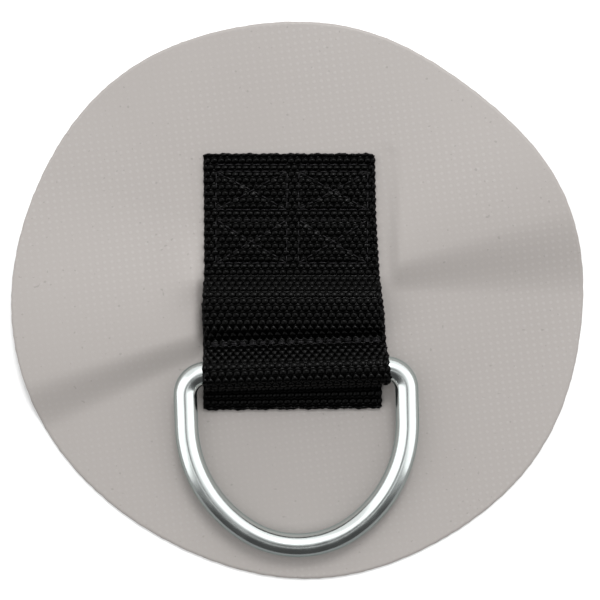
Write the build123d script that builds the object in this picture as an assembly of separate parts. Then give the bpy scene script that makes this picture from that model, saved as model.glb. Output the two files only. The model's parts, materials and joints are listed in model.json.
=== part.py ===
from build123d import *
import math
import os

os.makedirs("parts", exist_ok=True)

# A soft pad eye for an inflatable boat: a round patch of coated fabric, which is glued to the tube, with a length
# of webbing sewn on it and a D-ring in the webbing's loop. Sizes are in millimetres and angles in degrees.
# The origin is the middle of the patch's underside, the glue face. +Z points away from the boat, and the ring
# lies towards -Y.

# Patch: its edge is cut by hand, so its radius wanders. One radius every 22.5 degrees, anticlockwise from +X.
patch_thickness = 0.9
patch_radii = (79.8, 80.2, 77.0, 77.0, 77.8, 78.8, 80.0, 79.4, 80.0, 79.4, 77.4, 76.5, 77.8, 78.0, 79.0, 79.8)

# Webbing: standard 50 mm, with each leg of the fold one thickness and a small gap above the last.
strap_width = 50.0
strap_thickness = 1.3
leg_gap = 0.1

# D-ring: round wire. The radii are those of the wire's centreline.
wire_diameter = 6.3
ring_half_width = 30.3
ring_length = 48.5
ring_corner_radius = 5.8
ring_leg_end = 14.4
ring_side_radius = 35.7
loop_clearance = 0.25
ring_rest_gap = 0.1

# Where the strap and the ring are: the middle of the loop that holds the ring's straight bar, how far the ring has
# slid along it, and how far the sewing is out of square.
bar_x = -0.2
bar_y = -19.3
ring_slide = -0.35
sewn_askew = 1.7

# Distances along the strap from the bar's axis. The tail lies on the other side of the bar from the rest.
tail_reach = 10.9
bar_seam_at = 7.8
hump_at = 13.1
foot_at = 27.0
top_end_at = 59.9

# Bends of the strap's centreline. It climbs out of the groove at the bar seam, over a hump that covers the fold,
# and down a rounded shoulder to its foot on the patch.
fold_radius = 1.75
fold_slope_radius = 8.0
seam_bend_radius = 1.5
groove_bend_radius = 2.5
groove_slope = 38.0
shoulder_radius = 10.0
foot_bend_radius = 2.5
foot_slope = 45.0

# Seams: lockstitched boxes with a cross in each, two across and two along, and one seam across the strap.
thread_width = 0.7
thread_height = 0.3
box_width = 19.7
box_centres_x = {"left": -10.7, "right": 12.0}
box_spans = {"upper": (44.4, 55.1), "lower": (28.8, 41.8)}
bar_seam_length = 47.0

# Heights of the strap's centreline above the glue face, and of the bar's axis.
half_strap = strap_thickness / 2
leg_step = strap_thickness + leg_gap
first_leg_z = patch_thickness + half_strap
second_leg_z = first_leg_z + leg_step
third_leg_z = second_leg_z + leg_step
fold_top_z = first_leg_z + 2 * fold_radius
hump_z = fold_top_z + leg_step
loop_radius = wire_diameter / 2 + loop_clearance + half_strap
bar_z = second_leg_z + loop_radius
on_strap = Pos(bar_x, bar_y, 0) * Rot(0, 0, sewn_askew)


class Pen:
    """Draws one smooth line of straight runs and arcs, each tangent to the last."""

    def __init__(self, x, y, heading):
        self.at = Vector(x, y)
        self.heading = heading
        self.runs = []

    def direction(self):
        return Vector(1, 0).rotate(Axis.Z, self.heading)

    def forward(self, length):
        run = Line(self.at, self.at + self.direction() * length)
        self.runs.append(run)
        self.at = run @ 1

    def forward_to_x(self, x):
        self.forward((x - self.at.X) / self.direction().X)

    def turn(self, radius, angle):
        """An arc to the left for a positive angle, and to the right for a negative one."""
        run = JernArc(self.at, self.direction(), radius, angle)
        self.runs.append(run)
        self.at = run @ 1
        self.heading += angle

    def step(self, shift, first_radius, last_radius, slope=None):
        """Two opposite arcs that move the line sideways by shift. A slope puts a straight run between them."""
        side = math.copysign(1, shift)
        slope, straight = step_shape(abs(shift), first_radius, last_radius, slope)
        self.turn(first_radius, side * slope)
        if straight > 1e-6:
            self.forward(straight / math.sin(math.radians(slope)))
        self.turn(last_radius, -side * slope)


def step_shape(shift, first_radius, last_radius, slope=None):
    """The slope of a step, and how much of its shift is in the straight run."""
    radii = first_radius + last_radius
    if slope is None:
        slope = math.degrees(math.acos(1 - shift / radii))
    return slope, shift - radii * (1 - math.cos(math.radians(slope)))


def step_length(shift, first_radius, last_radius, slope=None):
    """How far Pen.step goes forward."""
    slope, straight = step_shape(shift, first_radius, last_radius, slope)
    arcs = (first_radius + last_radius) * math.sin(math.radians(slope))
    return arcs + straight / math.tan(math.radians(slope))


def patch_blank():
    """The disc: a closed smooth line through the hand-cut edge's points, centred on its own box."""
    turn = 360 / len(patch_radii)
    points = [Vector(radius, 0).rotate(Axis.Z, i * turn) for i, radius in enumerate(patch_radii)]
    disc = extrude(make_face(Spline(*points, periodic=True)), patch_thickness)
    middle = disc.bounding_box().center()
    return Pos(-middle.X, -middle.Y, 0) * disc


def strap_centreline():
    """The strap seen from its side, x along it from the bar's axis and y up from the glue face."""
    hump_end = foot_at - step_length(hump_z - first_leg_z, shoulder_radius, foot_bend_radius, foot_slope)
    pen = Pen(-tail_reach, first_leg_z, heading=0)
    pen.forward_to_x(hump_end)
    pen.turn(fold_radius, 180)
    pen.step(fold_top_z - second_leg_z, fold_slope_radius, fold_slope_radius)
    pen.forward_to_x(0)

    # Round the bar, and down to the seam on the line tangent to the loop and to the bend at the seam.
    across = bar_seam_at - thread_width
    down = third_leg_z + seam_bend_radius - bar_z
    between = math.hypot(across, down)
    slope = math.degrees(math.asin((loop_radius + seam_bend_radius) / between) - math.atan2(down, across))
    pen.turn(loop_radius, -180 - slope)
    pen.forward(math.sqrt(between**2 - (loop_radius + seam_bend_radius) ** 2))
    pen.turn(seam_bend_radius, slope)

    groove = (groove_bend_radius, groove_bend_radius, groove_slope)
    pen.forward_to_x(hump_at - step_length(hump_z - third_leg_z, *groove))
    pen.step(hump_z - third_leg_z, *groove)
    pen.forward_to_x(hump_end)
    pen.step(first_leg_z - hump_z, shoulder_radius, foot_bend_radius, foot_slope)
    pen.forward_to_x(top_end_at)
    return pen.runs


def webbing_strap():
    side = trace(Curve(strap_centreline()), strap_thickness)
    return on_strap * extrude(Plane.YZ * side, strap_width / 2, both=True)


def ring_centreline():
    """The whole ring seen from above, with the bar's middle at the origin and the bow towards -Y."""
    side_centre_x = ring_half_width - ring_side_radius
    drop = ring_length - ring_leg_end
    bow_radius = (ring_side_radius**2 - side_centre_x**2 - drop**2) / (2 * (ring_side_radius - drop))
    side_turn = math.degrees(math.atan2(drop - bow_radius, -side_centre_x))
    pen = Pen(0, 0, heading=0)
    pen.forward_to_x(ring_half_width - ring_corner_radius)
    pen.turn(ring_corner_radius, -90)
    pen.forward(ring_leg_end - ring_corner_radius)
    pen.turn(ring_side_radius, -side_turn)
    pen.turn(bow_radius, -2 * (90 - side_turn))
    pen.turn(ring_side_radius, -side_turn)
    pen.forward(ring_leg_end - ring_corner_radius)
    pen.turn(ring_corner_radius, -90)
    pen.forward_to_x(0)
    return Wire(pen.runs)


def d_ring():
    """The bar lies in the strap's loop, and the bow's end rests on the patch."""
    wire = sweep(Plane.YZ * Circle(wire_diameter / 2), path=ring_centreline())
    bow_z = patch_thickness + ring_rest_gap + wire_diameter / 2
    droop = math.degrees(math.asin((bar_z - bow_z) / ring_length))
    return on_strap * Pos(ring_slide, 0, bar_z) * Rot(droop, 0, 0) * wire


def thread(lines, base_z):
    strokes = [extrude(trace(line, thread_width), thread_height) for line in lines]
    return on_strap * Pos(0, 0, base_z) * strokes[0].fuse(*strokes[1:])


def boxed_cross(side, row):
    left = box_centres_x[side] - box_width / 2
    right = box_centres_x[side] + box_width / 2
    low, high = box_spans[row]
    corners = (left, low), (right, low), (right, high), (left, high)
    outline = [Line(corners[i - 1], corners[i]) for i in range(4)]
    cross = [Line(corners[0], corners[2]), Line(corners[1], corners[3])]
    return outline + cross


def bar_seam():
    half = bar_seam_length / 2
    return [Line((-half, bar_seam_at), (half, bar_seam_at))]


# Each seam has a needle thread on top of the webbing and a bobbin thread pressed flush into the glue face.
threads = {}
for row in box_spans:
    for side in box_centres_x:
        lines = boxed_cross(side, row)
        threads[f"needle_thread_{row}_{side}"] = thread(lines, first_leg_z + half_strap)
        threads[f"bobbin_thread_{row}_{side}"] = thread(lines, 0)
threads["needle_thread_bar_seam"] = thread(bar_seam(), third_leg_z + half_strap)
threads["bobbin_thread_bar_seam"] = thread(bar_seam(), 0)

base_patch = patch_blank()
for name, piece in threads.items():
    if name.startswith("bobbin"):
        base_patch -= piece

nodes = {"base_patch": base_patch, "webbing_strap": webbing_strap(), "d_ring": d_ring(), **threads}
for name, piece in nodes.items():
    export_step(piece, f"parts/{name}.step")

wire_length = ring_centreline().length
print(f"bar axis at z {bar_z:.3f}, direction {sewn_askew} degrees from +X")
print(f"ring wire {wire_length:.1f} long, volume {nodes['d_ring'].volume:.1f}",
      f"against {math.pi * wire_diameter**2 / 4 * wire_length:.1f} from its section")
print(f"strap {sum(run.length for run in strap_centreline()):.1f} long")
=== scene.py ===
import json
import math

import bpy
import numpy as np
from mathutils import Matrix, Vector


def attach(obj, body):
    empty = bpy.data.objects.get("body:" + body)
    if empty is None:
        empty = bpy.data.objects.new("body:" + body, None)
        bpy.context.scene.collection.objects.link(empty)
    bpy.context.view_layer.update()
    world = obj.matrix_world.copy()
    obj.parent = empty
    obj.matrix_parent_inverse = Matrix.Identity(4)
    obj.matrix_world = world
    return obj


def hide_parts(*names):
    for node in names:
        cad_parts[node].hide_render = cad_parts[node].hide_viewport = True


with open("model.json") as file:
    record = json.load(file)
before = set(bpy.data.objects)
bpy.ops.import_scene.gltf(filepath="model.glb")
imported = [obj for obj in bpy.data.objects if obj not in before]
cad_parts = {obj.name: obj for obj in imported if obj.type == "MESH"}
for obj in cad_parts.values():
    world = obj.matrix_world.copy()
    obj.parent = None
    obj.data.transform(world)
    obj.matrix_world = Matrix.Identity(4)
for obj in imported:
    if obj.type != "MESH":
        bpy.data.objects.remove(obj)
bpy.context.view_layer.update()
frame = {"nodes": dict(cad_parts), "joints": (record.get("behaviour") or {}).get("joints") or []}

# The object is a D-ring patch for an inflatable boat. Lengths below are in millimetres, and MM turns them to
# metres.
MM = 0.001
rng = np.random.default_rng(7)

# The ring's bar, from the hinge. The strap runs across it, a little out of square with the patch.
hinge = next(joint for joint in frame["joints"] if joint["name"] == "ring_swing")
BAR = np.array(hinge["pos_m"]) / MM
ASKEW = math.atan2(-hinge["axis"][1], -hinge["axis"][0])

# Patch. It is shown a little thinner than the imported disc, whose top it shares. Folds draw its edge in by a
# share of their height. Its cut edge is slightly wavy and frayed, and has four levels, each a share of the
# thickness and an inset, and the depth that its material reads there. Its radii are one every 22.5 degrees,
# anticlockwise from +X.
PATCH_THICKNESS = 0.78
PATCH_TOP = 0.9
FOLD_DRAW_IN = 0.0035
EDGE_LEVELS = ((0.0, 0.10), (0.30, 0.0), (0.62, 0.0), (1.0, 0.10))
EDGE_DEPTHS = [0.0, 0.4, 0.6, 1.0]
EDGE_WAVES = 0.06
EDGE_FRAY = 0.03
PATCH_RADII = (79.8, 80.2, 77.0, 77.0, 77.8, 78.8, 80.0, 79.4, 80.0, 79.4, 77.4, 76.5, 77.8, 78.0, 79.0, 79.8)

# The patch's soft folds. Each fans out from its apex and rises with the distance from it. The crest is its
# ridge's direction, and right and left are how far it spans clockwise and anticlockwise of the ridge, all in
# degrees. A fold's slope starts at a multiple of its rise and eases off further out. The short fold fades out
# between two distances from the middle. All grow from nothing over FOLDS_START beside the strap, which covers
# a rectangle of the patch.
RIGHT_FOLD = {"apex": (0.0, 2.5), "crest": 17.0, "right": 18.0, "left": 48.0, "rise": 0.058}
LEFT_FOLD = {"apex": (20.0, 6.0), "crest": 197.0, "right": 36.0, "left": 8.5, "rise": 0.048}
SHORT_FOLD = {"apex": (-18.0, 8.0), "crest": 188.0, "right": 95.0, "left": 35.0, "rise": 0.082}
FOLD_FIRST_SLOPE = 1.3
FOLD_EASES_OVER = 160
SHORT_FOLD_FADES = (24, 42)
FOLDS_START = 4
COVERED_MIDDLE_Y = 5.0
COVERED_HALF_LENGTH = 36.0

# Webbing. A warp end's pairs of half sizes are those where it dives and where it floats. WEAVE_STEEP is the
# share of a third harmonic that makes it dive more steeply. The ragged ends are how far a yarn's end may fall
# short. The selvedge's ends lie at small steps in the margin that the others leave at each edge. The insets
# are how far inside the webbing's edge the weft ends, and how far inside its length the melted ends are
# centred.
STRAP_WIDTH = 50.0
STRAP_THICKNESS = 1.3
LEG_GAP = 0.1
WARP_ENDS = 50
SELVEDGE_ENDS = 2
SELVEDGE_MARGIN = 2.1
SELVEDGE_STEPS = (0.85, 1.5)
PICK_PITCH = 1.93
SEWN_PICK_PITCH = 1.82
WEAVE_HEIGHT = 0.46
WEAVE_STEEP = 0.13
RAGGED_ENDS = 0.35
WARP_HALF_WIDTHS = (0.44, 1.00)
SELVEDGE_HALF_WIDTHS = (0.50, 0.68)
WARP_HALF_HEIGHTS = (0.20, 0.24)
WEFT_INSET = 0.6
WEFT_HALF_WIDTH = 0.50
WEFT_HALF_HEIGHT = 0.15
FUSED_INSET = 0.15
FUSED_HALF_WIDTH = 0.42
FUSED_HALF_HEIGHT = 0.52

# The strap's folded line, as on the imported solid: distances from the bar, heights and radii of its
# centreline. The lead is how far before the bar seam the strap has come down to it. The picks turn from the
# bar's direction to the patch's between the distances in each SQUARE pair.
TAIL_REACH = 10.9
BAR_SEAM_AT = 7.8
HUMP_AT = 13.1
FOOT_AT = 27.0
TOP_END_AT = 59.9
FOLD_RADIUS = 1.75
FOLD_SLOPE_RADIUS = 8.0
SEAM_BEND_RADIUS = 1.5
GROOVE_BEND_RADIUS = 2.5
GROOVE_SLOPE = 38.0
SHOULDER_RADIUS = 10.0
FOOT_BEND_RADIUS = 2.5
FOOT_SLOPE = 45.0
BAR_SEAM_LEAD = 0.7
LINE_SAMPLES = 6001
SQUARE_TO_HUMP = (8.5, 14)
SQUARE_TO_TAIL = (-5, -9)
TAIL_SQUARED = 0.65
FIRST_LEG_Z = PATCH_TOP + STRAP_THICKNESS / 2
SECOND_LEG_Z = FIRST_LEG_Z + STRAP_THICKNESS + LEG_GAP
THIRD_LEG_Z = SECOND_LEG_Z + STRAP_THICKNESS + LEG_GAP
FOLD_TOP_Z = FIRST_LEG_Z + 2 * FOLD_RADIUS
HUMP_Z = FOLD_TOP_Z + STRAP_THICKNESS + LEG_GAP
LOOP_RADIUS = BAR[2] - SECOND_LEG_Z

# Seams: boxes with a cross, and one multi-pass seam beside the bar. The squeeze is how much of its height the
# webbing loses under a seam. It spreads as far as the reach, and stops a little above the third leg. A stitch
# dives in at its ends. They stray sideways by about the wander, and along the seam by up to STITCH_UNEVEN of
# the stitch's length. Its arch is an exponent: the lower it is, the flatter the stitch.
STITCH_LENGTH = 2.6
STITCH_UNEVEN = 0.05
STITCH_ARCH = 0.55
THREAD_FLATNESS = 0.9
NEEDLE_RADIUS = 0.15
NEEDLE_DIVE = 0.9
BOBBIN_RADIUS = 0.17
BOBBIN_DIVE = 0.4
BOX_WANDER = 0.06
BOX_SQUEEZE = 0.3
BOX_REACH = 0.75
BAR_SEAM_PASSES = (-0.5, -0.2, 0.1, 0.45)
BAR_SEAM_WANDER = 0.12
BAR_SEAM_SQUEEZE = 0.18
BAR_SEAM_REACH = 1.3
SQUEEZE_STOPS_ABOVE = 1
BOX_SIDES = {"left": (-20.7, -1.0), "right": (2.3, 21.5)}
BOX_ROWS = {"upper": (44.5, 55.1), "lower": (29.6, 41.6)}
BACKTACK_ROW = 57.0
SEAM_LEAN = 0.035
BAR_SEAM_HALF = 23.6

# Numbers that tell one set of yarns from another in the yarn attribute, and so give each its own filaments.
WEFT_NUMBER = 100
STITCH_NUMBER = 200
FUSED_NUMBER = 300

# Coating, in metres: the scrim's pitch each way, and the middle and reach of the painted shade inside the
# ring.
SCRIM_PITCH = (0.0020, 0.00187)
SCRIM_TURN = math.radians(-7)
RING_SHADE_MIDDLE = (0.0, -0.046, 0.0)
RING_SHADE_REACH = (0.012, 0.034)

# Light and camera, in metres.
STUDIO_BRIGHTNESS = 1.65
KEY_PLACE = (0.20, 1.05, 1.28)
KEY_SIZE = 0.56
KEY_WATTS = 14.0
CAMERA_PLACE = (0.0007, 0.0, 0.300)
CAMERA_COVERS = 0.168
SENSOR_WIDTH = 36


# ---------------------------------------------------------------- mesh helpers

def mesh_piece(name, points, faces, body, attributes):
    """A smooth mesh object from points in millimetres, riding on a body, with named values for its points."""
    mesh = bpy.data.meshes.new(name)
    mesh.from_pydata((np.asarray(points) * MM).tolist(), [], [list(map(int, face)) for face in faces])
    for key, values in attributes.items():
        values = np.asarray(values, dtype=np.float32)
        kind, field = ("FLOAT_VECTOR", "vector") if values.ndim == 2 else ("FLOAT", "value")
        layer = mesh.attributes.new(key, kind, "POINT")
        layer.data.foreach_set(field, values.ravel())
    mesh.polygons.foreach_set("use_smooth", [True] * len(mesh.polygons))
    mesh.update()
    piece = bpy.data.objects.new(name, mesh)
    bpy.context.scene.collection.objects.link(piece)
    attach(piece, body)
    return piece


def tubes(centres, side, up, half_width, half_height, around=8):
    """Closed tubes of elliptical section. centres, side and up are (tubes, rings, 3), the half sizes are
    (tubes, rings). Returns points, faces and each point's angle round its tube."""
    count, rings = centres.shape[:2]
    angle = np.arange(around) * 2 * math.pi / around
    across = side[:, :, None] * (half_width[:, :, None] * np.cos(angle))[..., None]
    upward = up[:, :, None] * (half_height[:, :, None] * np.sin(angle))[..., None]
    points = (centres[:, :, None] + across + upward).reshape(-1, 3)
    index = np.arange(count * rings * around).reshape(count, rings, around)
    here, there = index[:, :-1], index[:, 1:]
    walls = np.stack([here, np.roll(here, -1, 2), np.roll(there, -1, 2), there], axis=-1).reshape(-1, 4)
    caps = [list(index[t, 0, ::-1]) for t in range(count)] + [list(index[t, -1]) for t in range(count)]
    turn = np.broadcast_to(angle, index.shape).ravel()
    return points, walls.tolist() + caps, turn


def blunt_ends(t, bluntness, least):
    """The share of its full size that a piece has along its length, from -1 to 1. It narrows at both ends."""
    return np.sqrt(np.clip(1 - np.abs(t) ** bluntness, least, 1))


def blend(low_high, share):
    """The value that is a share of the way from the first of a pair to the second."""
    low, high = low_high
    return low + (high - low) * share


def smooth_step(low, high, x):
    t = np.clip((x - low) / (high - low), 0, 1)
    return t * t * (3 - 2 * t)


def to_part(local):
    """From the strap's own frame (x along the bar, y towards the sewn end, z up, from the bar's foot) to the
    part's. The picks run along the bar at the loop, square with the patch on the hump and the sewn leg, and
    nearly so on the tail."""
    local = np.asarray(local, dtype=float)
    c, s = math.cos(ASKEW), math.sin(ASKEW)
    on_hump = smooth_step(*SQUARE_TO_HUMP, local[..., 1])
    on_tail = smooth_step(*SQUARE_TO_TAIL, local[..., 1])
    squared = on_hump + TAIL_SQUARED * on_tail
    along = local[..., 1] - local[..., 0] * s * squared
    x = BAR[0] + local[..., 0] * c - along * s
    y = BAR[1] + local[..., 0] * s + along * c
    return np.stack([x, y, local[..., 2]], axis=-1)


# ---------------------------------------------------------------- the strap's line

def bend(radius, degrees):
    """A run that turns to the left by degrees, or to the right if they are negative."""
    return abs(math.radians(degrees)) * radius, math.radians(degrees)


def step(shift, first_radius, last_radius, slope=None):
    """Runs that move the line sideways by shift, and how far they go forward."""
    side = math.copysign(1, shift)
    radii = first_radius + last_radius
    if slope is None:
        slope = math.degrees(math.acos(1 - abs(shift) / radii))
    rad = math.radians(slope)
    straight = abs(shift) - radii * (1 - math.cos(rad))
    forward = radii * math.sin(rad) + straight / math.tan(rad)
    first_bend, last_bend = bend(first_radius, side * slope), bend(last_radius, -side * slope)
    runs = [first_bend, (straight / math.sin(rad), 0.0), last_bend]
    return [run for run in runs if run[0] > 1e-6], forward


class StrapLine:
    """The strap seen from its side: a list of runs, each a length and the angle it turns."""

    def __init__(self):
        drop, drop_forward = step(FOLD_TOP_Z - SECOND_LEG_Z, FOLD_SLOPE_RADIUS, FOLD_SLOPE_RADIUS)
        rise, rise_forward = step(HUMP_Z - THIRD_LEG_Z, GROOVE_BEND_RADIUS, GROOVE_BEND_RADIUS, GROOVE_SLOPE)
        fall, fall_forward = step(FIRST_LEG_Z - HUMP_Z, SHOULDER_RADIUS, FOOT_BEND_RADIUS, FOOT_SLOPE)
        hump_end = FOOT_AT - fall_forward

        # The slanted run from the loop down to the bar seam is tangent to the bends at both of its ends.
        seam_start = BAR_SEAM_AT - BAR_SEAM_LEAD
        down = THIRD_LEG_Z + SEAM_BEND_RADIUS - BAR[2]
        between = math.hypot(seam_start, down)
        radii = LOOP_RADIUS + SEAM_BEND_RADIUS
        slope = math.degrees(math.asin(radii / between) - math.atan2(down, seam_start))
        slant = math.sqrt(between**2 - radii**2)

        # The tail and the leg beyond it, the fold, the leg back to the bar, the loop, the groove with the bar
        # seam, the hump and the sewn leg.
        runs = [(TAIL_REACH + hump_end, 0.0), bend(FOLD_RADIUS, 180)]
        runs += drop + [(hump_end - drop_forward, 0.0)]
        before_loop = len(runs) - 1
        runs += [bend(LOOP_RADIUS, -180 - slope), (slant, 0.0), bend(SEAM_BEND_RADIUS, slope)]
        before_seam = len(runs) - 1
        runs += [(HUMP_AT - rise_forward - seam_start, 0.0)] + rise
        runs += [(hump_end - HUMP_AT, 0.0)] + fall + [(TOP_END_AT - FOOT_AT, 0.0)]
        ends = np.cumsum([length for length, _ in runs])
        turned = np.cumsum([turn for _, turn in runs])
        self.length = ends[-1]
        self.fold_s = ends[0]
        self.loop_s = ends[before_loop]
        self.seam_s = ends[before_seam] + BAR_SEAM_LEAD
        self.foot_s = ends[-2]
        self.s = np.linspace(0, self.length, LINE_SAMPLES)
        self.heading = np.interp(self.s, np.append(0, ends), np.append(0, turned))
        middle = (self.heading[1:] + self.heading[:-1]) / 2
        self.y = -TAIL_REACH + np.append(0, np.cumsum(np.cos(middle))) * self.s[1]
        self.z = FIRST_LEG_Z + np.append(0, np.cumsum(np.sin(middle))) * self.s[1]

    def at(self, s):
        """Place, direction and upward normal on the line, for any array of distances along it."""
        y, z, heading = (np.interp(s, self.s, v) for v in (self.y, self.z, self.heading))
        zero = np.zeros_like(y)
        centre = np.stack([zero, y, z], axis=-1)
        along = np.stack([zero, np.cos(heading), np.sin(heading)], axis=-1)
        normal = np.stack([zero, -np.sin(heading), np.cos(heading)], axis=-1)
        return centre, along, normal


strap_line = StrapLine()

# How the strap wanders sideways and changes width, by distance along it: tail end, fold, loop, seam, hump,
# foot, the middle of the sewn leg and its end. The seams draw the sewn leg in.
WANDER_AT = (0, strap_line.fold_s, strap_line.loop_s + 7, strap_line.seam_s, strap_line.foot_s - 11,
             strap_line.foot_s, strap_line.foot_s + 16, strap_line.length)
WANDER = (-1.5, -0.7, -0.05, -0.3, -0.6, -0.6, -0.6, -0.4)
WIDTH_SHARE = (0.995, 1.0, 1.02, 1.005, 0.99, 0.975, 0.957, 0.955)


def wander(s):
    """How far the strap has strayed sideways at a distance along it."""
    return np.interp(s, WANDER_AT, WANDER)


def width_share(s):
    """The strap's width at a distance along it, as a share of its full width."""
    return np.interp(s, WANDER_AT, WIDTH_SHARE)


# ---------------------------------------------------------------- seams

def seam_lines(side, row):
    """The strokes of one boxed cross in the strap's frame: the box's four sides, its two diagonals, and the
    backtack along the upper box's top."""
    low, high = BOX_ROWS[row]
    left, right = BOX_SIDES[side]
    lower_left, lower_right = (left, low), (right, low)
    upper_left, upper_right = (left, high), (right, high)
    strokes = [(lower_left, lower_right), (lower_right, upper_right), (upper_right, upper_left),
               (upper_left, lower_left), (lower_left, upper_right), (lower_right, upper_left)]
    if row == "upper":
        strokes.append(((left, BACKTACK_ROW), (right, BACKTACK_ROW)))
    return [tuple((x - SEAM_LEAN * (BACKTACK_ROW - y), y) for x, y in stroke) for stroke in strokes]


SEAMS = {f"{row}_{side}": seam_lines(side, row) for row in BOX_ROWS for side in BOX_SIDES}
SEAMS["bar_seam"] = [((-BAR_SEAM_HALF, BAR_SEAM_AT), (BAR_SEAM_HALF, BAR_SEAM_AT))]


def seam_pull(x, y):
    """How hard the threads pull the webbing down at a place in the strap's frame, from 0 to 1."""
    pull = np.zeros(np.broadcast(x, y).shape)
    for name, strokes in SEAMS.items():
        reach = BAR_SEAM_REACH if name == "bar_seam" else BOX_REACH
        for (x0, y0), (x1, y1) in strokes:
            length = math.hypot(x1 - x0, y1 - y0)
            t = np.clip(((x - x0) * (x1 - x0) + (y - y0) * (y1 - y0)) / length**2, 0, 1)
            away = np.hypot(x - x0 - t * (x1 - x0), y - y0 - t * (y1 - y0))
            pull = np.maximum(pull, np.exp(-((away / reach) ** 2)))
    return pull


def pressed(local):
    """The webbing under its seams: every leg there is squeezed towards the patch."""
    z = local[..., 2]
    most = np.where(local[..., 1] > FOOT_AT, BOX_SQUEEZE, BAR_SEAM_SQUEEZE)
    in_legs = z < THIRD_LEG_Z + SQUEEZE_STOPS_ABOVE
    squeeze = 1 - most * seam_pull(local[..., 0], local[..., 1]) * in_legs
    return np.stack([local[..., 0], local[..., 1], PATCH_TOP + (z - PATCH_TOP) * squeeze], axis=-1)


# ---------------------------------------------------------------- webbing

# Where each row of picks is. The seams draw the sewn leg's picks together.
loose_picks = round(strap_line.foot_s / PICK_PITCH)
sewn_picks = round((strap_line.length - strap_line.foot_s) / SEWN_PICK_PITCH)
PICKS = loose_picks + sewn_picks
PICK_COUNTS = (0, loose_picks, PICKS)
PICK_PLACES = (0, strap_line.foot_s, strap_line.length)


def picks_before(s):
    """How many picks there are up to a distance along the strap."""
    return np.interp(s, PICK_PLACES, PICK_COUNTS)


def at_pick(number):
    """The distance along the strap of a pick."""
    return np.interp(number, PICK_COUNTS, PICK_PLACES)


def warp_positions():
    """Where each warp end runs across the strap. The selvedge ends lie closer together."""
    inner = STRAP_WIDTH / 2 - SELVEDGE_MARGIN
    places = np.linspace(-inner, inner, WARP_ENDS - 2 * SELVEDGE_ENDS)
    edge = inner + np.array(SELVEDGE_STEPS)
    return np.concatenate([-edge[::-1], places, edge])


def warp(first):
    """The long yarns, every other one from the first. Each floats over one pick and under the next, and
    spreads wide and flat where it floats. Some are looser than others, and all snake a little."""
    steps, around = 8, 8
    which = np.arange(first, WARP_ENDS, 2)
    ends = len(which)
    rings = PICKS * steps + 1
    s = at_pick(np.linspace(0, PICKS, rings))[None, :] + np.zeros((ends, 1))
    s[:, 0] += rng.uniform(0, RAGGED_ENDS, ends)
    s[:, -1] -= rng.uniform(0, RAGGED_ENDS, ends)
    centre, _, normal = strap_line.at(s)
    phase = math.pi * (picks_before(s) + which[:, None])
    loose = rng.uniform(0.94, 1.03, (ends, 1)) + 0.03 * np.sin(s / 9.0 + rng.uniform(0, 6, (ends, 1)))
    wave = (np.cos(phase) - WEAVE_STEEP * np.cos(3 * phase)) / (1 - WEAVE_STEEP)
    local = centre + (WEAVE_HEIGHT * loose * wave)[..., None] * normal
    local[..., 0] = warp_positions()[which][:, None] * width_share(s) + wander(s)
    local[..., 0] += 0.08 * np.sin(phase * 2 + 0.6) + rng.normal(0, 0.03, (ends, 1))
    crown = np.abs(np.cos(phase))
    selvedge = (which < SELVEDGE_ENDS) | (which >= WARP_ENDS - SELVEDGE_ENDS)
    widths = np.where(selvedge[:, None], blend(SELVEDGE_HALF_WIDTHS, crown), blend(WARP_HALF_WIDTHS, crown))
    side = np.zeros_like(local)
    side[..., 0] = 1.0
    points, faces, turn = tubes(local, side, normal, widths * loose, blend(WARP_HALF_HEIGHTS, crown), around)
    distance = s.reshape(ends, rings, 1) + np.zeros((1, 1, around))
    number = which[:, None, None] + np.zeros((1, rings, around))
    yarn = np.stack([distance.ravel(), turn, number.ravel()], axis=-1)
    return to_part(pressed(points)), faces, yarn


def weft():
    """The cross yarns, one flat yarn for each double pick. They end inside the outermost warp ends."""
    around, rings = 8, 41
    s = at_pick(np.arange(PICKS) + 0.5)[:, None] + np.zeros((1, rings))
    centre, along, normal = strap_line.at(s)
    t = np.linspace(-1, 1, rings)[None, :] + np.zeros((PICKS, 1))
    reach = (STRAP_WIDTH / 2 - WEFT_INSET + rng.uniform(-0.12, 0.12, (PICKS, 1))) * width_share(s)
    local = centre.copy()
    local[..., 0] = np.sin(t * math.pi / 2) * reach + wander(s)
    end = blunt_ends(t, 24, 0.02)
    points, faces, turn = tubes(local, along, normal, WEFT_HALF_WIDTH * end, WEFT_HALF_HEIGHT * end, around)
    distance = local[..., 0][..., None] + np.zeros((1, 1, around))
    number = WEFT_NUMBER + np.arange(PICKS)[:, None, None] + np.zeros((1, rings, around))
    yarn = np.stack([distance.ravel(), turn, number.ravel()], axis=-1)
    return to_part(pressed(points)), faces, yarn


def fused_end(s):
    """Where the strap was cut with a hot blade: a lumpy melted edge that holds the yarns together."""
    around, rings = 12, 201
    t = np.linspace(-1, 1, rings)[None, :]
    s = s + np.zeros_like(t)
    centre, along, normal = strap_line.at(s)
    lump = 0.10 * np.sin(t * 78) + 0.07 * np.sin(t * 41 + 1.3) + rng.normal(0, 0.025, t.shape)
    local = centre + along * (0.10 * np.sin(t * 23))[..., None]
    local[..., 0] = t * (STRAP_WIDTH / 2 - 0.3) * width_share(s) + wander(s)
    end = blunt_ends(t, 40, 0.05)
    half_width = (FUSED_HALF_WIDTH + lump) * end
    half_height = (FUSED_HALF_HEIGHT + 0.5 * lump) * end
    points, faces, turn = tubes(local, along, normal, half_width, half_height, around)
    yarn = np.stack([points[:, 0], turn, np.full(len(turn), float(FUSED_NUMBER))], axis=-1)
    return to_part(pressed(points)), faces, yarn


# ---------------------------------------------------------------- stitches

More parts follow.
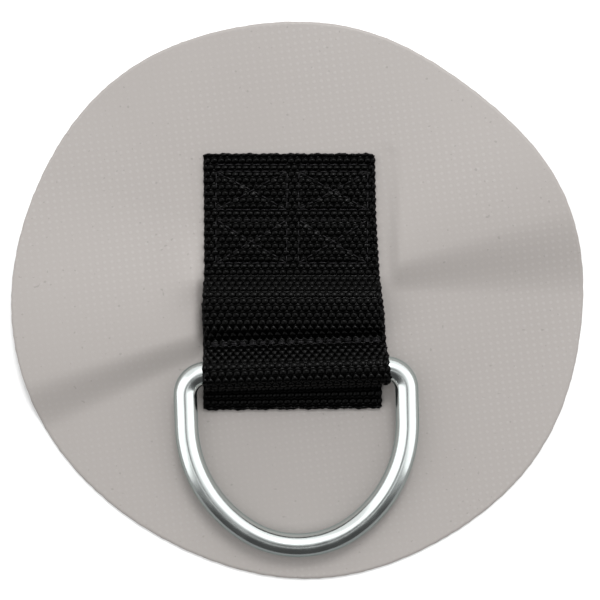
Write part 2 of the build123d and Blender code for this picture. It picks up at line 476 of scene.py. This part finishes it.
def stitches(strokes, lies_at, dive, radius, passes, wander_by):
    """One thread's stitches along its strokes: each lies at a height and moves by its dive at both ends."""
    rings, around = 9, 8
    t = np.linspace(0, 1, rings)
    arch = np.clip(np.sin(math.pi * t), 0, 1) ** STITCH_ARCH
    height = lies_at + (1 - arch) * dive
    centres, sides, ups = [], [], []
    for (x0, y0), (x1, y1) in strokes:
        length = math.hypot(x1 - x0, y1 - y0)
        along = np.array([(x1 - x0) / length, (y1 - y0) / length, 0.0])
        beside = np.array([-along[1], along[0], 0.0])
        count = max(1, round(length / STITCH_LENGTH))
        for offset in passes:
            for i in range(count):
                start = (i + rng.uniform(-STITCH_UNEVEN, STITCH_UNEVEN)) / count * length
                end = (i + 1 + rng.uniform(-STITCH_UNEVEN, STITCH_UNEVEN)) / count * length
                drift = offset + rng.normal(0, wander_by, 2)
                run = start + (end - start) * t
                place = np.outer(run, along) + np.outer(blend(drift, t), beside)
                place += np.array([x0, y0, 0.0])
                place[:, 2] = height
                heading = np.gradient(place, axis=0)
                heading /= np.linalg.norm(heading, axis=1, keepdims=True)
                centres.append(place)
                sides.append(np.broadcast_to(beside, place.shape))
                ups.append(np.cross(beside, heading))
    centres, sides, ups = (np.array(v) for v in (centres, sides, ups))
    sizes = np.full(centres.shape[:2], radius)
    points, faces, turn = tubes(centres, sides, ups, sizes, sizes * THREAD_FLATNESS, around)
    distance = np.tile(np.repeat(t * STITCH_LENGTH, around), len(centres))
    number = STITCH_NUMBER + np.repeat(np.arange(len(centres)), rings * around)
    yarn = np.stack([distance, turn, number.astype(float)], axis=-1)
    return to_part(points), faces, yarn


def flat_top(leg_z, share):
    """The height of the webbing's top where a seam squeezes it."""
    return PATCH_TOP + (leg_z + STRAP_THICKNESS / 2 - PATCH_TOP) * (1 - share)


# ---------------------------------------------------------------- patch

def patch_radius(angle):
    """The hand-cut edge: a smooth closed line through its radii."""
    waves = np.fft.rfft(PATCH_RADII) / len(PATCH_RADII)
    radius = np.full(np.shape(angle), waves[0].real)
    for k in range(1, len(waves)):
        share = 1 if k == len(PATCH_RADII) // 2 else 2
        radius = radius + share * (waves[k] * np.exp(1j * k * angle)).real
    return radius


def fold_height(x, y, apex, crest, right, left, rise):
    """The height of one fold. It rises with the distance from its apex, and less far out."""
    dx, dy = x - apex[0], y - apex[1]
    angle = (np.degrees(np.arctan2(dy, dx)) - crest + 180) % 360 - 180
    span = np.where(angle > 0, left, right)
    away = np.hypot(dx, dy)
    slope = FOLD_FIRST_SLOPE - away / FOLD_EASES_OVER
    return rise * away * slope * (1 - smooth_step(0, 1, np.abs(angle) / span))


def patch_lift(x, y):
    """How far the patch stands off the floor: soft folds that fan out from the webbing's edges, one long one
    on each side and a short one beside the hump on the left."""
    fade_start, fade_end = SHORT_FOLD_FADES
    short = fold_height(x, y, **SHORT_FOLD) * smooth_step(fade_end, fade_start, np.abs(x))
    lift = fold_height(x, y, **RIGHT_FOLD) + fold_height(x, y, **LEFT_FOLD) + short
    beside_strap = np.maximum(np.abs(x) - STRAP_WIDTH / 2, 0)
    beyond_strap = np.maximum(np.abs(y - COVERED_MIDDLE_Y) - COVERED_HALF_LENGTH, 0)
    return lift * smooth_step(0, FOLDS_START, beside_strap + beyond_strap)


def patch():
    """The disc: top, cut edge and underside, as rings from the middle out."""
    rings, spokes = 90, 400
    share = np.linspace(0, 1, rings + 1)[1:]
    angle = np.arange(spokes) * 2 * math.pi / spokes
    waves = EDGE_WAVES * np.sin(angle * 97) * np.sin(angle * 31)
    edge = patch_radius(angle) + waves + rng.normal(0, EDGE_FRAY, spokes)
    x = share[:, None] * edge * np.cos(angle)
    y = share[:, None] * edge * np.sin(angle)
    lift = patch_lift(x, y)
    drawn_in = 1 - lift * FOLD_DRAW_IN
    x, y = x * drawn_in, y * drawn_in
    top = np.stack([x, y, PATCH_TOP + lift], axis=-1)
    low = top - [0, 0, PATCH_THICKNESS]
    sides = []
    for depth, inset in EDGE_LEVELS:
        ring = top[-1].copy()
        ring[:, 0] -= inset * np.cos(angle)
        ring[:, 1] -= inset * np.sin(angle)
        ring[:, 2] -= depth * PATCH_THICKNESS
        sides.append(ring)
    layers = list(top[:-1]) + sides + list(low[:-1][::-1])
    cut = [0.0] * (rings - 1) + EDGE_DEPTHS + [1.0] * (rings - 1)
    points = np.concatenate([np.array(layers).reshape(-1, 3), [[0, 0, PATCH_TOP]],
                             [[0, 0, PATCH_TOP - PATCH_THICKNESS]]])
    index = np.arange(len(layers) * spokes).reshape(len(layers), spokes)
    here, there = index[:-1], index[1:]
    walls = np.stack([here, there, np.roll(there, -1, 1), np.roll(here, -1, 1)], axis=-1).reshape(-1, 4)
    centre_top, centre_low = len(points) - 2, len(points) - 1
    fans = [[centre_top, index[0, i], index[0, (i + 1) % spokes]] for i in range(spokes)]
    fans += [[centre_low, index[-1, (i + 1) % spokes], index[-1, i]] for i in range(spokes)]
    depth = np.concatenate([np.repeat(cut, spokes), [0.0, 1.0]])
    return points, walls.tolist() + fans, depth


# ---------------------------------------------------------------- materials

class Nodes:
    """Short calls for the nodes of one tree."""

    def __init__(self, tree):
        self.tree = tree

    def node(self, kind, *inputs, **settings):
        node = self.tree.nodes.new(kind)
        for key, value in settings.items():
            setattr(node, key, value)
        for i, value in enumerate(inputs):
            self.feed(node.inputs[i], value)
        return node

    def feed(self, socket, value):
        if isinstance(value, bpy.types.NodeSocket):
            self.tree.links.new(value, socket)
        else:
            socket.default_value = value

    def maths(self, operation, *values):
        return self.node("ShaderNodeMath", *values, operation=operation).outputs[0]

    def ramp(self, value, low, high, to_low=0.0, to_high=1.0):
        node = self.node("ShaderNodeMapRange", value, low, high, to_low, to_high,
                         interpolation_type="SMOOTHSTEP")
        return node.outputs[0]

    def noise(self, vector, scale, detail, roughness=0.5):
        node = self.node("ShaderNodeTexNoise")
        self.feed(node.inputs["Vector"], vector)
        self.feed(node.inputs["Scale"], scale)
        self.feed(node.inputs["Detail"], detail)
        self.feed(node.inputs["Roughness"], roughness)
        return node.outputs["Fac"]

    def mix(self, share, first, second):
        node = self.node("ShaderNodeMix", data_type="RGBA")
        self.feed(node.inputs[0], share)
        self.feed(node.inputs[6], first)
        self.feed(node.inputs[7], second)
        return node.outputs[2]


class Look(Nodes):
    """A material and its shader."""

    def __init__(self, name):
        self.material = bpy.data.materials.new(name)
        self.material.use_nodes = True
        super().__init__(self.material.node_tree)
        self.shader = self.tree.nodes["Principled BSDF"]

    def set(self, **values):
        for key, value in values.items():
            self.feed(self.shader.inputs[key.replace("_", " ")], value)

    def bump(self, height, strength, distance):
        node = self.node("ShaderNodeBump")
        self.feed(node.inputs["Strength"], strength)
        self.feed(node.inputs["Distance"], distance)
        self.feed(node.inputs["Height"], height)
        self.set(Normal=node.outputs[0])


def coated_fabric():
    """Warm grey coating over a woven scrim, which shows as a grid of faint pale dots, and a fibrous cut edge.
    The depth attribute is 0 on the top, 1 on the underside and between them on the cut edge."""
    look = Look("coated_fabric")
    look.set(Roughness=0.52, IOR=1.45)
    place = look.node("ShaderNodeTexCoord").outputs["Object"]
    turned = look.node("ShaderNodeMapping")
    look.feed(turned.inputs["Vector"], place)
    look.feed(turned.inputs["Rotation"], (0, 0, SCRIM_TURN))
    parts = look.node("ShaderNodeSeparateXYZ", turned.outputs[0])
    warp_wave = look.maths("COSINE", look.maths("MULTIPLY", parts.outputs[0], 2 * math.pi / SCRIM_PITCH[0]))
    weft_wave = look.maths("COSINE", look.maths("MULTIPLY", parts.outputs[1], 2 * math.pi / SCRIM_PITCH[1]))
    dots = look.ramp(look.maths("ADD", warp_wave, weft_wave), 0.4, 2.0)
    shows = look.ramp(look.noise(place, 22, 2), 0.35, 0.65, 0.35, 1.0)
    dots = look.maths("MULTIPLY", dots, shows)
    cloudy = look.ramp(look.noise(place, 9, 3), 0.3, 0.7)
    base = look.mix(cloudy, (0.302, 0.281, 0.267, 1), (0.318, 0.297, 0.283, 1))
    base = look.mix(look.maths("MULTIPLY", dots, 0.28), base, (0.385, 0.365, 0.35, 1))
    speck = look.ramp(look.noise(place, 900, 0), 0.80, 0.84)
    base = look.mix(look.maths("MULTIPLY", speck, 0.3), base, (0.14, 0.13, 0.12, 1))
    # Painted shade: the coating goes a little darker inside the ring, where the ring and the strap shade it.
    from_ring_shade = look.node("ShaderNodeVectorMath", place, RING_SHADE_MIDDLE, operation="DISTANCE").outputs["Value"]
    base = look.mix(look.ramp(from_ring_shade, *RING_SHADE_REACH, 0.08, 0.0), base, (0, 0, 0, 1))
    depth = look.node("ShaderNodeAttribute", attribute_name="depth").outputs["Fac"]
    core = look.maths("MULTIPLY", look.ramp(depth, 0.15, 0.35), look.ramp(depth, 0.85, 0.65))
    fibres = look.ramp(look.noise(place, 4000, 1), 0.4, 0.6)
    base = look.mix(core, base, look.mix(fibres, (0.30, 0.285, 0.27, 1), (0.52, 0.50, 0.48, 1)))
    look.set(Base_Color=base)
    grain = look.maths("MULTIPLY", look.noise(place, 2600, 3), 0.35)
    look.bump(look.maths("ADD", dots, grain), 0.35, 0.00006)
    return look.material


def yarn_look(name, colour, pale, roughness, specular, streaks, twist):
    """Bundled filaments: fine streaks along the yarn, which run round it where it is twisted. A higher number
    for the streaks makes them finer. The yarn attribute holds the distance along the yarn, the angle round it
    and the yarn's number."""
    look = Look(name)
    look.set(IOR=1.5, Specular_IOR_Level=specular)
    yarn = look.node("ShaderNodeAttribute", attribute_name="yarn").outputs["Vector"]
    parts = look.node("ShaderNodeSeparateXYZ", yarn)
    round_it = look.maths("ADD", parts.outputs[1], look.maths("MULTIPLY", parts.outputs[0], twist))
    ring_x = look.maths("MULTIPLY", look.maths("COSINE", round_it), streaks)
    ring_y = look.maths("MULTIPLY", look.maths("SINE", round_it), streaks)
    number = look.maths("MULTIPLY", parts.outputs[2], 13.7)
    along = look.maths("ADD", look.maths("MULTIPLY", parts.outputs[0], 0.5), number)
    vector = look.node("ShaderNodeCombineXYZ", ring_x, ring_y, along).outputs[0]
    filaments = look.noise(vector, 1.0, 3, 0.6)
    shade = look.ramp(filaments, 0.35, 0.7)
    look.set(Base_Color=look.mix(shade, colour, pale))
    look.set(Roughness=look.ramp(filaments, 0.3, 0.7, roughness - 0.08, roughness + 0.1))
    look.bump(filaments, 0.4, 0.00012)
    return look.material


def zinc():
    """Bright zinc plating over drawn wire: a slightly uneven gloss and faint pits."""
    look = Look("zinc_plate")
    look.set(Metallic=1.0, Specular_Tint=(0.50, 0.66, 0.66, 1))
    place = look.node("ShaderNodeTexCoord").outputs["Object"]
    uneven = look.noise(place, 160, 3, 0.6)
    look.set(Base_Color=look.mix(uneven, (0.63, 0.675, 0.665, 1), (0.68, 0.715, 0.705, 1)))
    look.set(Roughness=look.ramp(uneven, 0.3, 0.7, 0.15, 0.22))
    pits = look.noise(place, 2200, 2)
    look.bump(pits, 0.06, 0.00004)
    return look.material


# ---------------------------------------------------------------- the pieces

def add_piece(name, points, faces, attributes, material, replaced):
    """One visible piece on the patch's body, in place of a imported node."""
    piece = mesh_piece(name, points, faces, "patch", attributes)
    piece.data.materials.append(material)
    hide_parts(replaced)
    return piece


def add_patch():
    """The coated fabric, as a sheet laid on the floor."""
    points, faces, depth = patch()
    sheet = add_piece("patch_sheet", points, faces, {"depth": depth}, coated_fabric(), "base_patch")


def add_webbing():
    """The yarns of the webbing and its two heat-cut ends."""
    polypropylene = yarn_look("polypropylene_yarn", colour=(0.0002, 0.0002, 0.0002, 1),
                              pale=(0.0009, 0.0009, 0.0008, 1), roughness=0.22, specular=0.070,
                              streaks=2.4, twist=0.8)
    meshes = {
        "webbing_warp_odd": warp(0),
        "webbing_warp_even": warp(1),
        "webbing_weft": weft(),
        "webbing_sewn_end": fused_end(strap_line.length - FUSED_INSET),
        "webbing_tail_end": fused_end(FUSED_INSET),
    }
    for name, (points, faces, yarn) in meshes.items():
        add_piece(name, points, faces, {"yarn": yarn}, polypropylene, "webbing_strap")


def add_stitches():
    """The needle and bobbin thread of every seam."""
    sewing_thread = yarn_look("sewing_thread", colour=(0.001, 0.0009, 0.001, 1),
                              pale=(0.010, 0.009, 0.011, 1), roughness=0.25, specular=0.20,
                              streaks=1.5, twist=5.0)
    for seam, strokes in SEAMS.items():
        if seam == "bar_seam":
            top = flat_top(THIRD_LEG_Z, BAR_SEAM_SQUEEZE)
            passes, wander_by = BAR_SEAM_PASSES, BAR_SEAM_WANDER
        else:
            top = flat_top(FIRST_LEG_Z, BOX_SQUEEZE)
            passes, wander_by = (0.0,), BOX_WANDER
        needle = stitches(strokes, top + NEEDLE_RADIUS / 2, -NEEDLE_DIVE, NEEDLE_RADIUS, passes, wander_by)
        bobbin = stitches(strokes, BOBBIN_RADIUS, BOBBIN_DIVE, BOBBIN_RADIUS, passes, wander_by)
        for kind, (points, faces, yarn) in {"needle": needle, "bobbin": bobbin}.items():
            name = f"stitches_{kind}_{seam}"
            add_piece(name, points, faces, {"yarn": yarn}, sewing_thread, f"{kind}_thread_{seam}")


def plate_ring():
    """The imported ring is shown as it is, with its own material."""
    ring = frame["nodes"]["d_ring"]
    ring.data.materials.clear()
    ring.data.materials.append(zinc())


# ---------------------------------------------------------------- floor, light and camera

def floor():
    """A white floor, which the ring mirrors as a darker one."""
    bpy.ops.mesh.primitive_plane_add(size=6)
    plane = bpy.context.object
    plane.name = "floor"
    look = Look("floor_white")
    mirrored = look.node("ShaderNodeLightPath").outputs["Is Glossy Ray"]
    colour = look.mix(mirrored, (0.88, 0.88, 0.88, 1), (0.25, 0.25, 0.25, 1))
    look.set(Base_Color=colour, Roughness=0.9, Specular_IOR_Level=0.1)
    plane.data.materials.append(look.material)


def sky():
    """A white light tent with an opening towards -Y, onto a dim room, and a hole overhead for a camera. Its
    back wall and one corner are a little dimmer. To the camera it is plain pale."""
    world = bpy.data.worlds.new("studio")
    bpy.context.scene.world = world
    world.use_nodes = True
    nodes = Nodes(world.node_tree)
    nodes.tree.nodes.clear()
    maths, ramp = nodes.maths, nodes.ramp
    direction = nodes.node("ShaderNodeSeparateXYZ", nodes.node("ShaderNodeTexCoord").outputs["Generated"])
    x, y, z = direction.outputs

    # The opening: inside is how far a direction is past its jambs and the flap over it. The brightness falls
    # there from the tent's to the dim room's.
    jamb = maths("MAXIMUM", maths("MULTIPLY", x, 0.565), maths("MULTIPLY", x, -0.62))
    flap = maths("MAXIMUM", maths("MULTIPLY", z, 0.33), maths("MULTIPLY_ADD", z, 0.13, jamb))
    inside = maths("SUBTRACT", maths("MULTIPLY", y, -1.0), flap)
    front = maths("ADD", ramp(inside, -0.03, 0.06, 0.84, 0.0), ramp(inside, 0.0, 0.35, 0.16, 0.045))

    # The back wall towards +Y, dimmer low down, and the dim corner towards -X and +Y.
    back = ramp(maths("SUBTRACT", y, z), 0.05, 0.45, 1.0, 0.76)
    corner_x = ramp(maths("MULTIPLY_ADD", z, -0.5, maths("MULTIPLY", x, -1.0)), 0.0, 0.2, 0.0, 0.36)
    corner = maths("MULTIPLY", corner_x, ramp(maths("MULTIPLY_ADD", x, 0.6, y), -0.03, 0.06, 0.0, 1.0))
    walls = maths("MINIMUM", back, maths("SUBTRACT", 1.0, corner))

    # The hole overhead. It is lopsided, and a slot at the middle of its front edge reaches further forward.
    rightward = maths("MULTIPLY_ADD", maths("MINIMUM", y, 0.0), -0.8, x)
    slot = ramp(maths("ABSOLUTE", x), 0.05, 0.12, 0.3, 0.0)
    across = maths("MULTIPLY", ramp(x, -0.25, -0.13, 0.0, 1.0), ramp(rightward, 0.05, 0.62, 1.0, 0.0))
    front_edge = ramp(maths("ADD", y, slot), -0.29, -0.19, 0.0, 1.0)
    along = maths("MULTIPLY", front_edge, ramp(y, 0.0, 0.50, 1.0, 0.0))
    hole = maths("MULTIPLY", maths("MULTIPLY", across, along), ramp(z, 0.0, 0.3, 0.0, 0.92))
    walls = maths("MULTIPLY", walls, maths("SUBTRACT", 1.0, hole))

    brightness = maths("MULTIPLY", maths("MULTIPLY", front, walls), STUDIO_BRIGHTNESS)
    lit = nodes.node("ShaderNodeBackground", (1.0, 1.0, 1.0, 1), brightness)
    seen = nodes.node("ShaderNodeBackground", (0.92, 0.93, 0.94, 1), 1.0)
    camera_ray = nodes.node("ShaderNodeLightPath").outputs["Is Camera Ray"]
    both = nodes.node("ShaderNodeMixShader", camera_ray, lit.outputs[0], seen.outputs[0])
    nodes.node("ShaderNodeOutputWorld", both.outputs[0])


def key_lamp():
    """A large round lamp behind the patch, aimed at its middle."""
    data = bpy.data.lights.new("key", "AREA")
    data.shape = "DISK"
    data.size = KEY_SIZE
    data.energy = KEY_WATTS
    made = bpy.data.objects.new("key", data)
    made.location = KEY_PLACE
    made.rotation_euler = (-Vector(KEY_PLACE)).to_track_quat("-Z", "Y").to_euler()
    made.visible_camera = False
    bpy.context.scene.collection.objects.link(made)


def camera():
    """Straight above the patch, with its top up the picture."""
    data = bpy.data.cameras.new("camera")
    data.sensor_width = SENSOR_WIDTH
    data.lens = SENSOR_WIDTH * CAMERA_PLACE[2] / CAMERA_COVERS
    made = bpy.data.objects.new("camera", data)
    made.location = CAMERA_PLACE
    bpy.context.scene.collection.objects.link(made)
    bpy.context.scene.camera = made


add_patch()
add_webbing()
add_stitches()
plate_ring()
floor()
sky()
key_lamp()
camera()
bpy.context.scene.view_settings.view_transform = "Standard"
